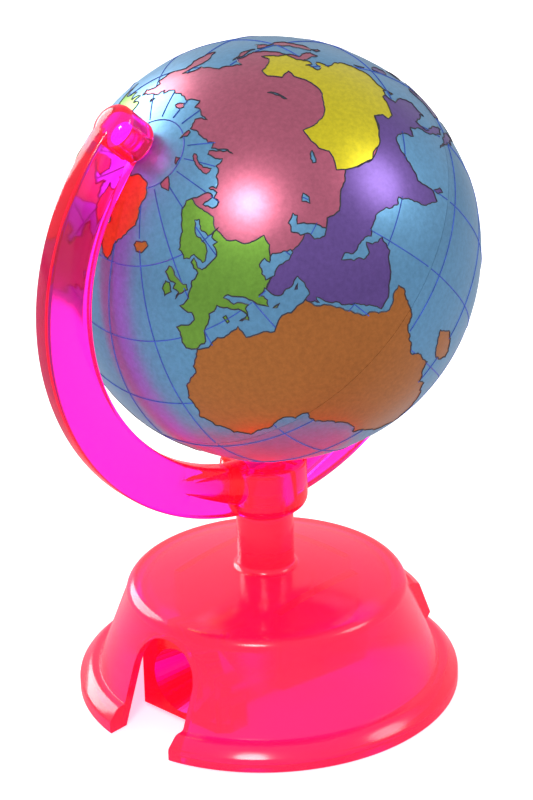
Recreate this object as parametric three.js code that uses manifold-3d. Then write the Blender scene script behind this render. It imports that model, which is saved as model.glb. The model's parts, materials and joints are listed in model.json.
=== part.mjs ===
// Small desktop globe on a stand, with a pencil sharpener in its foot.
// A printed tin ball spins on two axle pins pressed in the ends of a half-round arm; the arm's hub is
// pressed on the neck of a hollow moulded foot, and a sharpener block is behind the foot's arched mouth.
// Millimetres. +Z is up, the table is z = 0 and the north end of the axis leans to -X. The foot is
// turned a little under the arm, so the pencil goes in nearly from -X. The object's length along X
// is centred on the origin.
import * as THREE from 'three';
import { mergeVertices } from 'three/addons/utils/BufferGeometryUtils.js';
import Module from 'manifold-3d';

const wasm = await Module();
wasm.setup();

// ---- driving dimensions ----

const GAP = 0.3; // left between two pieces that sit on or in each other
const AROUND = 48; // steps round a turned piece
const AROUND_SMALL = 24; // steps round a pin, hole or screw
const BEYOND = 1; // how far a cutting shape reaches past what it cuts

// globe
const GLOBE_R = 25;
const GLOBE_WALL = 0.4;
const AXIS_TILT = 46.4; // degrees from upright, towards -X
const RIM_HALF = 2.6; // height of the straight rim band on each half
const RIM_STEP = 0.15; // how far the band stands out from the ball
const LIP_LENGTH = 2; // the southern rim reaches this far inside the northern one
const COLLAR_DEPTH = 1.6; // turned-in edge round each pole hole
const COLLAR_WALL = 0.5;
const COLLAR_ROLL = 0.1; // the wall turns in this much below the ball's surface

// arm
const ARM_GAP = 2.2; // inside of the arm to the ball, half-way round the arm
const ARM_WIDTH = 6.4;
const ARM_THICK = 2.6;
const ARM_EDGE = 0.5; // bevel along the arm's edges
const ARM_SET_BACK = 2.4; // the arm's circle is centred this far behind the ball's axis
const BOSS_R = 2.7;
const BOSS_CLEAR = 0.4; // end boss to the ball
const BOSS_ROUND = 0.8; // edge next to the ball
const BOSS_DOME = 0.2; // rise of the outer end past the arm
const BOSS_SHOULDER = 1.6; // length over which the outer end rounds off
const GUSSET_REACH = 13.8; // tip of each gusset, from the neck's axis
const GUSSET_R = 3.5; // gusset radius where it would meet the neck's axis

// axle pins, pressed in blind holes from the ball's side
const PIN_R = 1.2;
const PIN_INSIDE = 2.2; // length inside the ball
const PIN_IN_BOSS = 3.2; // length inside the end boss
const PIN_POINT = 0.4; // chamfer at both ends

// hub and neck
const HUB_R = 5.3;
const HUB_H = 6.5;
const HUB_ROUND = 1.6;
const HUB_EDGE = 0.5; // chamfer round the hub's top
const NECK_R = 3.5;
const NECK_LENGTH = 7.5; // from the top of the foot to the hub
const NECK_FOOT = 0.8; // fillet round the neck's foot
const SPIGOT_R = 2.3;
const SPIGOT_LENGTH = 5;
const SOCKET_DEPTH = 5; // hub's hole for the spigot, from the hub's underside

// foot
const FOOT_R = 23.5;
const FLANGE_EDGE = 1.4; // straight part of the flange
const FLANGE_H = 3;
const FLANGE_TOP_R = 22.1;
const FLANGE_BEVEL = 0.6;
const SKIRT_LOW_R = 20.95; // skirt radius at the top of the flange
const TOP_R = 17.3; // skirt radius where the top edge begins to round
const TOP_Z = 14.15; // height of the rim of the top
const TOP_ROUND = 1.5;
const INNER_CORNER = 0.8; // slope inside the top edge
const DOME = 1.85; // rise of the top from its rim to the neck
const WALL = 1.2;
const FOOT_TURN = 8.5; // degrees that the foot is turned under the arm, about the neck

// mouth and raised panel
const MOUTH_HALF = 4.9;
const MOUTH_ARCH_Z = 7.4; // height at which the arch begins
const PANEL_PROUD = 1.4;
const PANEL_HALF = 10;
const PANEL_LOW_Z = 4;
const PANEL_HIGH_Z = 10;
const PANEL_BEVEL = 0.6;

// sharpener
const BLOCK_LENGTH = 24;
const BLOCK_WIDTH = 14.7;
const BLOCK_H = 10.2;
const BLOCK_LOW_Z = 0.9;
const BLOCK_CORNER = 1.2; // chamfer on the upright corners
const BLOCK_SHOULDER = 3.6; // chamfer along the top edges
const BLOCK_CLEAR = 0.4; // front corners to the inside of the skirt
const CONE_MOUTH_R = 4.2; // fits an ordinary pencil
const CONE_TIP_R = 0.9;
const CONE_SHORT = 2; // the cone ends this far before the back of the block
const COLLAR_LENGTH = 3.5; // full-width front of the block, before the blade's bed
const BED_BITE = 0.25; // how far the blade's bed cuts into the cone
const BLADE_WIDTH = 5.4;
const BLADE_THICK = 0.6;
const BLADE_BELOW_AXIS = 0.6; // cutting edge below the pencil's axis
const BLADE_GRIND = 0.54; // width of the ground edge
const BLADE_BACK = 1; // blade to the step at the front of its bed
const BLADE_END = 1.5; // blade to the back of the block
const SCREW_R = 0.9;
const SCREW_HEAD_R = 1.6;
const SCREW_HEAD_H = 1;
const SCREW_LENGTH = 4;
const SCREW_POINT = 0.6;
const SCREW_HOLE_LENGTH = 5;
const SCREW_ALONG = 0.7; // place of the screw along the blade, as a share of its length
const SLOT_WIDTH = 0.5;
const SLOT_DEPTH = 0.5;
const RIB_WALL = 1.2; // ribs under the top that hold the block
const RIB_LENGTH = 14;
const RIB_LOW_Z = 5;
const STOP_HALF = 5;

// ---- sizes worked out from them ----

const tilt = THREE.MathUtils.degToRad(AXIS_TILT);
const neckTopZ = TOP_Z + DOME + NECK_LENGTH;
const hubZ = neckTopZ + GAP;
const armInner = GLOBE_R + ARM_GAP - ARM_SET_BACK;
const armOuter = armInner + ARM_WIDTH;
const armZ = hubZ + armOuter;
const globeX = ARM_SET_BACK * Math.cos(tilt);
const globeZ = armZ + ARM_SET_BACK * Math.sin(tilt);
const pinHoleR = PIN_R + GAP;
const pinEnd = GLOBE_R + BOSS_CLEAR + PIN_IN_BOSS;
const skirtSlope = (SKIRT_LOW_R - TOP_R) / (TOP_Z - TOP_ROUND - FLANGE_H);
const skirtInset = WALL * Math.hypot(1, skirtSlope);
const domeEdgeR = TOP_R - skirtSlope * TOP_ROUND * 0.5 - TOP_ROUND;

const skirtR = (z) => SKIRT_LOW_R - skirtSlope * (z - FLANGE_H);
const domeZ = (r) => TOP_Z + DOME * (1 - (r / domeEdgeR) ** 2);

const coneAxisZ = BLOCK_LOW_Z + BLOCK_H / 2;
const blockTopZ = BLOCK_LOW_Z + BLOCK_H;

// how far forward a corner at this height and half-width can go before it meets the skirt
const roomAhead = (z, halfWidth) => Math.sqrt((skirtR(z) - skirtInset - BLOCK_CLEAR) ** 2 - halfWidth ** 2);
const blockFrontX = -Math.min(
  roomAhead(blockTopZ - BLOCK_SHOULDER, BLOCK_WIDTH / 2 - BLOCK_CORNER),
  roomAhead(blockTopZ, BLOCK_WIDTH / 2 - BLOCK_SHOULDER),
);
const coneLength = BLOCK_LENGTH - CONE_SHORT;
const coneSlope = (CONE_MOUTH_R - CONE_TIP_R) / coneLength;
const bladeLength = BLOCK_LENGTH - COLLAR_LENGTH - BLADE_BACK - BLADE_END;
const bedAngle = Math.atan(coneSlope);

// ---- solids ----

function toSolid(geometry) {
  const bare = geometry.clone();
  bare.deleteAttribute('normal');
  bare.deleteAttribute('uv');
  const merged = mergeVertices(bare, 1e-4);
  return new wasm.Manifold(new wasm.Mesh({
    numProp: 3,
    vertProperties: new Float32Array(merged.attributes.position.array),
    triVerts: new Uint32Array(merged.index.array),
  }));
}

function toGeometry(solid) {
  const mesh = solid.getMesh();
  const geometry = new THREE.BufferGeometry();
  geometry.setAttribute('position', new THREE.BufferAttribute(mesh.vertProperties, mesh.numProp));
  geometry.setIndex(new THREE.BufferAttribute(mesh.triVerts, 1));
  geometry.computeVertexNormals();
  return geometry;
}

const join = (...solids) => solids.reduce((whole, next) => whole.add(next));
const cut = (solid, ...tools) => tools.reduce((left, tool) => left.subtract(tool), solid);

// a profile of [radius, height] points turned about Z
function turned(points, steps = AROUND) {
  const profile = points.map(([r, z]) => new THREE.Vector2(r, z));
  return toSolid(new THREE.LatheGeometry(profile, steps).rotateX(Math.PI / 2));
}

const rod = (radius, low, high, steps = AROUND_SMALL) =>
  turned([[0, low], [radius, low], [radius, high], [0, high]], steps);

function box(low, high) {
  const size = high.map((value, i) => value - low[i]);
  const middle = high.map((value, i) => (value + low[i]) / 2);
  return toSolid(new THREE.BoxGeometry(...size).translate(...middle));
}

// a shape drawn in X and Z, given a thickness along Y and a bevel along its edges
function slab(shape, thick, bevel, curveSegments) {
  const geometry = new THREE.ExtrudeGeometry(shape, {
    depth: thick - 2 * bevel,
    bevelEnabled: true,
    bevelThickness: bevel,
    bevelSize: bevel,
    bevelOffset: -bevel,
    bevelSegments: 2,
    curveSegments,
  });
  return toSolid(geometry.translate(0, 0, -thick / 2 + bevel).rotateX(Math.PI / 2));
}

// points of an arc about (cx, cz), angles in degrees from +X towards +Z
function arc(cx, cz, radius, from, to, steps) {
  return Array.from({ length: steps + 1 }, (_, i) => {
    const angle = THREE.MathUtils.degToRad(from + ((to - from) * i) / steps);
    return [cx + radius * Math.cos(angle), cz + radius * Math.sin(angle)];
  });
}

// ---- foot, with the neck and its spigot ----

function standBase() {
  const roundR = TOP_R - TOP_ROUND;
  const domeRadii = [0.85, 0.65, 0.45].map((share) => share * domeEdgeR);
  const footZ = domeZ(NECK_R + NECK_FOOT);
  const innerCornerZ = TOP_Z - WALL - INNER_CORNER;
  const inner = [0.2, 0.5, 0.8].map((share) => [share * roundR, domeZ(share * roundR) - WALL]);
  const outline = [
    [0, domeZ(0) - WALL],
    ...inner,
    [roundR - WALL / 2, TOP_Z - WALL],
    [skirtR(innerCornerZ) - skirtInset, innerCornerZ],
    [skirtR(0) - skirtInset, 0],
    [FOOT_R, 0],
    [FOOT_R, FLANGE_EDGE],
    [FLANGE_TOP_R + FLANGE_BEVEL, FLANGE_H - FLANGE_BEVEL],
    [FLANGE_TOP_R, FLANGE_H],
    [SKIRT_LOW_R, FLANGE_H],
    ...arc(roundR, TOP_Z - TOP_ROUND, TOP_ROUND, 0, 80, 4),
    [domeEdgeR, domeZ(domeEdgeR)],
    ...domeRadii.map((r) => [r, domeZ(r)]),
    ...arc(NECK_R + NECK_FOOT, footZ + NECK_FOOT, NECK_FOOT, 270, 180, 3),
    [NECK_R, neckTopZ],
    [SPIGOT_R, neckTopZ],
    [SPIGOT_R, neckTopZ + SPIGOT_LENGTH],
    [0, neckTopZ + SPIGOT_LENGTH],
  ];
  const shell = turned(outline);

  const band = turned([
    [skirtR(PANEL_LOW_Z) - WALL / 2, PANEL_LOW_Z],
    [skirtR(PANEL_LOW_Z) + PANEL_PROUD / 2, PANEL_LOW_Z],
    [skirtR(PANEL_LOW_Z + PANEL_BEVEL) + PANEL_PROUD, PANEL_LOW_Z + PANEL_BEVEL],
    [skirtR(PANEL_HIGH_Z - PANEL_BEVEL) + PANEL_PROUD, PANEL_HIGH_Z - PANEL_BEVEL],
    [skirtR(PANEL_HIGH_Z) + PANEL_PROUD / 2, PANEL_HIGH_Z],
    [skirtR(PANEL_HIGH_Z) - WALL / 2, PANEL_HIGH_Z],
    [skirtR(PANEL_LOW_Z) - WALL / 2, PANEL_LOW_Z],
  ]);
  const panel = band.intersect(box([0, -PANEL_HALF, 0], [FOOT_R, PANEL_HALF, TOP_Z]));

  const mouthShape = new THREE.Shape();
  mouthShape.moveTo(-MOUTH_HALF, -BEYOND);
  mouthShape.lineTo(MOUTH_HALF, -BEYOND);
  mouthShape.lineTo(MOUTH_HALF, MOUTH_ARCH_Z);
  mouthShape.absarc(0, MOUTH_ARCH_Z, MOUTH_HALF, 0, Math.PI);
  const mouthLength = FOOT_R + blockFrontX + GAP;
  const mouth = toSolid(new THREE.ExtrudeGeometry(mouthShape, {
    depth: mouthLength,
    bevelEnabled: false,
    curveSegments: 16,
  }).rotateX(Math.PI / 2).rotateZ(Math.PI / 2).translate(-FOOT_R - GAP, 0, 0));

  const ribY = BLOCK_WIDTH / 2 + GAP;
  const ribTop = domeZ(Math.hypot(RIB_LENGTH / 2, ribY + RIB_WALL)) - WALL / 2;
  const ribs = [-1, 1].map((side) => {
    const near = side * ribY;
    const far = side * (ribY + RIB_WALL);
    return box(
      [-RIB_LENGTH / 2, Math.min(near, far), RIB_LOW_Z],
      [RIB_LENGTH / 2, Math.max(near, far), ribTop],
    );
  });
  const stopX = blockFrontX + BLOCK_LENGTH + GAP;
  const stopTop = domeZ(Math.hypot(stopX + RIB_WALL, STOP_HALF)) - WALL / 2;
  const stop = box([stopX, -STOP_HALF, RIB_LOW_Z], [stopX + RIB_WALL, STOP_HALF, stopTop]);

  return join(cut(join(shell, panel), mouth), ...ribs, stop);
}

// ---- arm, with its hub, gussets and end bosses ----

// a turned piece moved onto the tilted axis through the ball's centre
const ontoAxis = (solid) => solid.rotate([0, -AXIS_TILT, 0]).translate([globeX, 0, globeZ]);

// how far from the ball's centre its axis leaves a circle about the arm's centre
const alongAxis = (radius) => Math.sqrt(radius ** 2 - ARM_SET_BACK ** 2);

// the arm's middle line crosses the axis this far past a half circle, inside the end bosses
const armMiddle = armInner + ARM_WIDTH / 2;
const armExtra = Math.asin(ARM_SET_BACK / armMiddle);

function armBar() {
  const from = Math.PI / 2 + tilt - armExtra;
  const to = (3 * Math.PI) / 2 + tilt + armExtra;
  const shape = new THREE.Shape();
  shape.absarc(0, armZ, armOuter, from, to, false);
  shape.absarc(0, armZ, armInner, to, from, true);
  return slab(shape, ARM_THICK, ARM_EDGE, 40);
}

function endBoss(end) {
  const near = GLOBE_R + BOSS_CLEAR;
  const far = alongAxis(armOuter);
  const boss = turned([
    [0, near],
    [BOSS_R - BOSS_ROUND, near],
    [BOSS_R, near + BOSS_ROUND],
    [BOSS_R, far + BOSS_DOME - BOSS_SHOULDER],
    [BOSS_R * 0.8, far + BOSS_DOME - BOSS_SHOULDER * 0.4],
    [BOSS_R * 0.5, far + BOSS_DOME - BOSS_SHOULDER * 0.1],
    [0, far + BOSS_DOME],
  ], 32);
  return end > 0 ? ontoAxis(boss) : ontoAxis(boss.rotate([180, 0, 0]));
}

function hub() {
  return turned([
    [0, hubZ],
    ...arc(HUB_R - HUB_ROUND, hubZ + HUB_ROUND, HUB_ROUND, 270, 360, 4),
    [HUB_R, hubZ + HUB_H - HUB_EDGE],
    [HUB_R - HUB_EDGE, hubZ + HUB_H],
    [0, hubZ + HUB_H],
  ], 40);
}

// a tapered rib that runs from the hub along the arm's middle line and dies into its flat side
function gusset(side) {
  const rise = armMiddle - Math.sqrt(armMiddle ** 2 - GUSSET_REACH ** 2);
  const length = Math.hypot(GUSSET_REACH, rise);
  const tipR = ARM_THICK / 2 - ARM_EDGE / 4;
  const cone = turned([[0, 0], [GUSSET_R, 0], [tipR, length], [0, length]], AROUND_SMALL);
  const lean = THREE.MathUtils.radToDeg(Math.atan2(side * GUSSET_REACH, rise));
  return cone.rotate([0, lean, 0]).translate([0, 0, hubZ + ARM_WIDTH / 2]);
}

function meridianArm() {
  const solid = join(armBar(), endBoss(1), endBoss(-1), hub(), gusset(-1), gusset(1));
  const bottom = pinEnd + GAP;
  const pinHoles = [rod(pinHoleR, 0, bottom), rod(pinHoleR, -bottom, 0)].map(ontoAxis);
  const ballRoom = new THREE.SphereGeometry(GLOBE_R + BOSS_CLEAR, AROUND, AROUND_SMALL);
  const room = toSolid(ballRoom).translate([globeX, 0, globeZ]);
  const socket = rod(SPIGOT_R + GAP, hubZ - BEYOND, hubZ + SOCKET_DEPTH);
  return cut(solid, ...pinHoles, room, socket);
}

// ---- axle pins, along their own Z in the tilted group ----

function axlePin(end) {
  const tip = GLOBE_R - PIN_INSIDE;
  const pin = turned([
    [0, tip],
    [PIN_R - PIN_POINT, tip],
    [PIN_R, tip + PIN_POINT],
    [PIN_R, pinEnd - PIN_POINT],
    [PIN_R - PIN_POINT, pinEnd],
    [0, pinEnd],
  ], AROUND_SMALL);
  return end > 0 ? pin : pin.rotate([180, 0, 0]);
}

// ---- globe halves, about their own axis in the tilted group ----

// turned wall of the northern half; the southern one is this, upside down, with a lip
function halfBall(withLip) {
  const bandR = GLOBE_R + RIM_STEP;
  const innerR = GLOBE_R - GLOBE_WALL;
  const holeR = pinHoleR + GLOBE_WALL / 4;
  const rimAngle = THREE.MathUtils.radToDeg(Math.asin(RIM_HALF / GLOBE_R));
  const poleAngle = THREE.MathUtils.radToDeg(Math.acos((holeR + COLLAR_WALL) / GLOBE_R));
  const innerRim = THREE.MathUtils.radToDeg(Math.asin(RIM_HALF / innerR));
  const innerPole = THREE.MathUtils.radToDeg(Math.acos((holeR + COLLAR_WALL) / innerR));
  const edge = withLip ? [
    [bandR - GLOBE_WALL, GAP + GLOBE_WALL],
    [bandR - 2 * GLOBE_WALL - GAP, GAP + GLOBE_WALL],
    [bandR - 2 * GLOBE_WALL - GAP, -LIP_LENGTH],
    [bandR - GLOBE_WALL - GAP, -LIP_LENGTH],
    [bandR - GLOBE_WALL - GAP, GAP],
    [bandR, GAP],
  ] : [[bandR - GLOBE_WALL, 0], [bandR, 0]];
  return turned([
    ...arc(0, 0, innerR, innerPole, innerRim, 9),
    ...edge,
    [bandR, RIM_HALF - RIM_STEP],
    ...arc(0, 0, GLOBE_R, rimAngle, poleAngle, 10),
    [holeR, GLOBE_R - COLLAR_ROLL],
    [holeR, GLOBE_R - COLLAR_DEPTH],
    [holeR + COLLAR_WALL, GLOBE_R - COLLAR_DEPTH],
    [innerR * Math.cos(THREE.MathUtils.degToRad(innerPole)),
      innerR * Math.sin(THREE.MathUtils.degToRad(innerPole))],
  ]);
}

// ---- sharpener ----

function blockOutline() {
  const half = BLOCK_WIDTH / 2;
  const backX = blockFrontX + BLOCK_LENGTH;
  const shape = new THREE.Shape();
  shape.moveTo(blockFrontX, -half + BLOCK_CORNER);
  shape.lineTo(blockFrontX + BLOCK_CORNER, -half);
  shape.lineTo(backX - BLOCK_CORNER, -half);
  shape.lineTo(backX, -half + BLOCK_CORNER);
  shape.lineTo(backX, half - BLOCK_CORNER);
  shape.lineTo(backX - BLOCK_CORNER, half);
  shape.lineTo(blockFrontX + BLOCK_CORNER, half);
  shape.lineTo(blockFrontX, half - BLOCK_CORNER);
  shape.closePath();
  return shape;
}

// a piece drawn over the bed (X along the cone's side, -Y out of the bed) put in its place
const ontoBed = (solid) => solid
  .rotate([0, 0, THREE.MathUtils.radToDeg(bedAngle)])
  .translate([blockFrontX, -CONE_MOUTH_R + BED_BITE, coneAxisZ]);

const screwX = COLLAR_LENGTH + BLADE_BACK + bladeLength * SCREW_ALONG;
const screwZ = BLADE_WIDTH - BLADE_BELOW_AXIS - SCREW_HEAD_R;

// the block's section across its length, with its sloping shoulders
function blockSection() {
  const half = BLOCK_WIDTH / 2;
  const corners = [
    [-half, BLOCK_LOW_Z],
    [half, BLOCK_LOW_Z],
    [half, blockTopZ - BLOCK_SHOULDER],
    [half - BLOCK_SHOULDER, blockTopZ],
    [-half + BLOCK_SHOULDER, blockTopZ],
    [-half, blockTopZ - BLOCK_SHOULDER],
  ];
  return new THREE.Shape(corners.map(([y, z]) => new THREE.Vector2(y, z)));
}

function sharpenerBody() {
  const plan = toSolid(new THREE.ExtrudeGeometry(blockOutline(), { depth: TOP_Z, bevelEnabled: false }));
  const bar = toSolid(new THREE.ExtrudeGeometry(blockSection(), {
    depth: BLOCK_LENGTH + 2 * BEYOND,
    bevelEnabled: false,
  }).rotateX(Math.PI / 2).rotateZ(Math.PI / 2).translate(blockFrontX - BEYOND, 0, 0));
  const block = plan.intersect(bar);
  const cone = turned([
    [0, -BEYOND],
    [CONE_MOUTH_R + BEYOND * coneSlope, -BEYOND],
    [CONE_TIP_R, coneLength],
    [CONE_TIP_R, BLOCK_LENGTH + BEYOND],
    [0, BLOCK_LENGTH + BEYOND],
  ], AROUND).rotate([0, 90, 0]).translate([blockFrontX, 0, coneAxisZ]);
  const bedRoom = ontoBed(box([COLLAR_LENGTH, -BLOCK_WIDTH, -BLOCK_H], [2 * BLOCK_LENGTH, 0, BLOCK_H]));
  const screwHole = ontoBed(rod(SCREW_R + GAP, -BEYOND, SCREW_HOLE_LENGTH)
    .rotate([-90, 0, 0]).translate([screwX, 0, screwZ]));
  return cut(block, cone, bedRoom, screwHole);
}

function sharpenerBlade() {
  const low = -BLADE_BELOW_AXIS;
  const start = COLLAR_LENGTH + BLADE_BACK;
  const section = new THREE.Shape([
    new THREE.Vector2(low, GAP),
    new THREE.Vector2(low + BLADE_GRIND, GAP + BLADE_THICK),
    new THREE.Vector2(low + BLADE_WIDTH, GAP + BLADE_THICK),
    new THREE.Vector2(low + BLADE_WIDTH, GAP),
  ]);
  const plate = toSolid(new THREE.ExtrudeGeometry(section, { depth: bladeLength, bevelEnabled: false })
    .applyMatrix4(new THREE.Matrix4().set(0, 0, 1, start, 0, -1, 0, 0, 1, 0, 0, 0, 0, 0, 0, 1)));
  const hole = rod(SCREW_R + GAP, -BEYOND, 2 * BEYOND).rotate([90, 0, 0]).translate([screwX, 0, screwZ]);
  return ontoBed(cut(plate, hole));
}

function bladeScrew() {
  const seat = 2 * GAP + BLADE_THICK;
  const point = GAP - SCREW_LENGTH;
  const screw = turned([
    [0, point],
    [SCREW_R * 0.6, point],
    [SCREW_R, point + SCREW_POINT],
    [SCREW_R, seat],
    [SCREW_HEAD_R, seat],
    [SCREW_HEAD_R, seat + SCREW_HEAD_H * 0.5],
    [SCREW_HEAD_R * 0.75, seat + SCREW_HEAD_H],
    [0, seat + SCREW_HEAD_H],
  ], AROUND_SMALL);
  const slot = box(
    [-SCREW_HEAD_R - BEYOND, -SLOT_WIDTH / 2, seat + SCREW_HEAD_H - SLOT_DEPTH],
    [SCREW_HEAD_R + BEYOND, SLOT_WIDTH / 2, seat + SCREW_HEAD_H + BEYOND],
  );
  return ontoBed(cut(screw, slot).rotate([90, 0, 0]).translate([screwX, 0, screwZ]));
}

// ---- the assembly ----

const pinkPlastic = { color: 0xf0145a, roughness: 0.25, metalness: 0 };
const printedTin = { color: 0x6fa3cc, roughness: 0.35, metalness: 0.5 };
const steel = { color: 0xb9bcc0, roughness: 0.3, metalness: 1 };

function piece(name, solid, look) {
  const mesh = new THREE.Mesh(toGeometry(solid), new THREE.MeshStandardMaterial(look));
  mesh.name = name;
  return mesh;
}

// the foot and what is in it, turned about the neck's axis
const foot = new THREE.Group();
foot.rotation.z = THREE.MathUtils.degToRad(FOOT_TURN);
foot.add(
  piece('stand_base', standBase(), pinkPlastic),
  piece('sharpener_body', sharpenerBody(), pinkPlastic),
  piece('sharpener_blade', sharpenerBlade(), steel),
  piece('blade_screw', bladeScrew(), steel),
);

// pieces on the tilted axis, north along their +Z
const tilted = new THREE.Group();
tilted.position.set(globeX, 0, globeZ);
tilted.rotation.y = -tilt;
tilted.add(
  piece('north_axle_pin', axlePin(1), pinkPlastic),
  piece('south_axle_pin', axlePin(-1), pinkPlastic),
  piece('globe_north_half', halfBall(false), printedTin),
  piece('globe_south_half', halfBall(true).rotate([180, 0, 0]), printedTin),
);

// the length along X runs from the back of the arm to the ball, and its middle is the origin
const group = new THREE.Group();
group.position.x = (armOuter - (globeX + GLOBE_R + RIM_STEP)) / 2;
group.add(foot, piece('meridian_arm', meridianArm(), pinkPlastic), tilted);

export default group;
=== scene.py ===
# %% [markdown]
# # A tin globe on a pink sharpener stand
# The object is a small desktop globe. Two halves of printed tin spin on pins between the ends of a
# half-round arm, and the arm stands on a hollow moulded foot that hides a pencil sharpener.
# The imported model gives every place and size. Shapes are drawn here in millimetres, as a drawing
# office would, and are brought to metres once they are finished.

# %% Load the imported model
import bpy
import bmesh
import json
import math
import random

import numpy as np
from mathutils import Matrix, Vector, geometry


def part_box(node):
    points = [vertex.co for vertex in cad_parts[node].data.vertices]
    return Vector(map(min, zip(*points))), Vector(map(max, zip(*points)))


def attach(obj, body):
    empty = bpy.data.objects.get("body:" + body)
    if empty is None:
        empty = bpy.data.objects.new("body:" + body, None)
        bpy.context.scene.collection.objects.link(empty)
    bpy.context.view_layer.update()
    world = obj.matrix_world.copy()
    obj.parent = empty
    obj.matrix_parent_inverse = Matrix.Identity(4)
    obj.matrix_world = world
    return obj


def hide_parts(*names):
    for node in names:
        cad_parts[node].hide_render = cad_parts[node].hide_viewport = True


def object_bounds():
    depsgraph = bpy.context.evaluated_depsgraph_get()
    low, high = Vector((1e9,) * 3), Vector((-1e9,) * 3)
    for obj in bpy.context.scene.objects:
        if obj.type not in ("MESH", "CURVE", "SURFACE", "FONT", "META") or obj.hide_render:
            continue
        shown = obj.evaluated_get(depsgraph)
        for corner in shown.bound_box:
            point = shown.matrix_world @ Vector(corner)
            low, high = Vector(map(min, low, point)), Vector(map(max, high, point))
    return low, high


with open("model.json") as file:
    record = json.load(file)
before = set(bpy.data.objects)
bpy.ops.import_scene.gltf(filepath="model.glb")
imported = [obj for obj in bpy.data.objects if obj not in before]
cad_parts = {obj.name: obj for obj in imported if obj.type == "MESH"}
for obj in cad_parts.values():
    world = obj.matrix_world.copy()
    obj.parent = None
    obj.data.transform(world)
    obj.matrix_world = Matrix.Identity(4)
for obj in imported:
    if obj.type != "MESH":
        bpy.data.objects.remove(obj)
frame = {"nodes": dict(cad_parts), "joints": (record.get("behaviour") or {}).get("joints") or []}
cad_low, cad_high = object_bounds()
MM = 0.001
print("nodes:", sorted(frame["nodes"]))

# %% [markdown]
# ## Where things are
# Every shape is made about an easy origin and then carried to its place by a matrix. The foot turns
# about the neck, the arm stays square to the axes, and the ball has its own axis, which the joint
# gives. Reading these from the model keeps the looks and the mechanics in one place.

# %% Places taken from the model
FOOT_R = 23.5
FOOT_TURN = 8.5

spin = frame["joints"][0]
globe_centre = Vector(spin["pos_m"])
north = Vector(spin["axis"]).normalized()
foot_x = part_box("stand_base")[1].x - FOOT_R * MM
arm_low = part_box("meridian_arm")[0]
tilt = math.acos(north.z)

to_metres = Matrix.Scale(MM, 4)
foot_place = (Matrix.Translation((foot_x, 0, 0)) @ Matrix.Rotation(math.radians(FOOT_TURN), 4, "Z")
              @ to_metres)
arm_place = Matrix.Translation((foot_x, 0, 0)) @ to_metres

# the ball's own axes: Z along its axis, Y as the world's, X to the low side
ball_y = Vector((0, 1, 0))
ball_x = ball_y.cross(north)
ball_axes = Matrix((ball_x, ball_y, north)).transposed().to_4x4()
ball_place = Matrix.Translation(globe_centre) @ ball_axes @ to_metres
print("neck at x =", round(foot_x / MM, 3), "mm; the ball's axis leans", round(math.degrees(tilt), 2))

# %% [markdown]
# ## The camera
# The view is from the left and a little above, with a long lens, so that the ball keeps its round
# outline. The camera is placed by heading, pitch and distance about a point near the middle of the
# object.

# %% Place the camera
HEADING = 38.1
PITCH = 24.42
ROLL = -1.51
DISTANCE = 0.381
LENS = 144.3
AIM_FROM_MIDDLE = Vector((0.0008, -0.0028, -0.0017))


def add_object(name, data):
    thing = bpy.data.objects.new(name, data)
    bpy.context.scene.collection.objects.link(thing)
    return thing


aim = (cad_low + cad_high) / 2 + AIM_FROM_MIDDLE
camera_turn = (Matrix.Rotation(math.radians(-HEADING), 4, "Z")
               @ Matrix.Rotation(math.radians(90 - PITCH), 4, "X")
               @ Matrix.Rotation(math.radians(ROLL), 4, "Z"))
camera_right = camera_turn @ Vector((1, 0, 0))
camera_up = camera_turn @ Vector((0, 1, 0))
camera_back = camera_turn @ Vector((0, 0, 1))
camera = add_object("camera", bpy.data.cameras.new("camera"))
camera.data.lens = LENS
camera.data.clip_start = 0.01
camera.matrix_world = Matrix.Translation(aim + camera_back * DISTANCE) @ camera_turn
bpy.context.scene.camera = camera
print("camera at", [round(v, 4) for v in camera.location])

# %% [markdown]
# ## Floor and light
# The object stands on white paper that runs out of sight. A bright even sky lights the clear plastic
# through and through. The tin needs something to mirror, so it gets a dimmer sky and three soft
# lamps: one close above the lens, one to the right and one behind on the left.

# %% Helpers for node trees
NOISE_LOW = 0.3
NOISE_HIGH = 0.7


def new_material(name):
    material = bpy.data.materials.new(name)
    material.use_nodes = True
    material.node_tree.nodes.clear()
    return material, material.node_tree


def add_node(tree, kind, **inputs):
    node = tree.nodes.new(kind)
    for name, value in inputs.items():
        node.inputs[name.replace("_", " ")].default_value = value
    return node


def calculate(tree, operation, first, second):
    node = tree.nodes.new("ShaderNodeMath")
    node.operation = operation
    node.use_clamp = True
    tree.links.new(first, node.inputs[0])
    tree.links.new(second, node.inputs[1])
    return node.outputs[0]


def mix(tree, share, first, second):
    blend = tree.nodes.new("ShaderNodeMixShader")
    tree.links.new(share, blend.inputs["Fac"])
    tree.links.new(first.outputs[0], blend.inputs[1])
    tree.links.new(second.outputs[0], blend.inputs[2])
    return blend


def show(tree, shader, kind="ShaderNodeOutputMaterial"):
    output = tree.nodes.new(kind)
    tree.links.new(shader.outputs[0], output.inputs["Surface"])
    return output


def object_noise(tree, scale, detail=3.0, roughness=0.5, stretch=None):
    source = tree.nodes.new("ShaderNodeTexCoord").outputs["Object"]
    if stretch:
        mapping = add_node(tree, "ShaderNodeMapping", Scale=stretch)
        tree.links.new(source, mapping.inputs["Vector"])
        source = mapping.outputs["Vector"]
    noise = add_node(tree, "ShaderNodeTexNoise", Scale=scale, Detail=detail, Roughness=roughness)
    tree.links.new(source, noise.inputs["Vector"])
    return noise


def spread(tree, noise, low, high, target):
    """Let the noise move an input between low and high."""
    ramp = add_node(tree, "ShaderNodeMapRange", From_Min=NOISE_LOW, From_Max=NOISE_HIGH,
                    To_Min=low, To_Max=high)
    tree.links.new(noise.outputs["Fac"], ramp.inputs["Value"])
    tree.links.new(ramp.outputs["Result"], target)


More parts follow.
